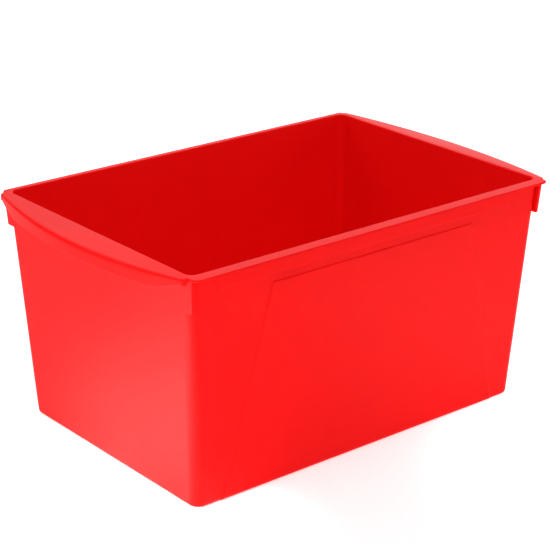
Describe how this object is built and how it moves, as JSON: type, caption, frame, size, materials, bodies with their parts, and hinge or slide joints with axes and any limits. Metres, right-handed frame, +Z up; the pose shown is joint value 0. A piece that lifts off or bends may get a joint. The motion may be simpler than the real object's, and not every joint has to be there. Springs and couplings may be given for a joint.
{
  "type": "book bin",
  "caption": "Open tapered bin for books and art supplies, with a flared handle lip at each end and a hooked side flange that links it to the next bin.",
  "frame": {"origin": "centre of the whole bin's plan box, on the surface that the base stands on", "axes": "+X along the long side towards the right-hand handle lip, +Y from the hooked front side towards the back, +Z up out of the open top"},
  "size_m": [0.364, 0.2336, 0.175],
  "materials": {
    "red_polypropylene": "satin moulded polypropylene, the same on every region because the bin is one moulding"
  },
  "bodies": {
    "root": {"back_left_corner": "red_polypropylene", "back_right_corner": "red_polypropylene", "back_rim": "red_polypropylene", "back_wall": "red_polypropylene", "front_hook_skirt": "red_polypropylene", "front_left_corner": "red_polypropylene", "front_right_corner": "red_polypropylene", "front_rim_flange": "red_polypropylene", "front_wall": "red_polypropylene", "left_end_wall": "red_polypropylene", "left_handle_lip": "red_polypropylene", "left_handle_skirt": "red_polypropylene", "right_end_wall": "red_polypropylene", "right_handle_lip": "red_polypropylene", "right_handle_skirt": "red_polypropylene", "tub_floor": "red_polypropylene"}
  },
  "joints": []
}
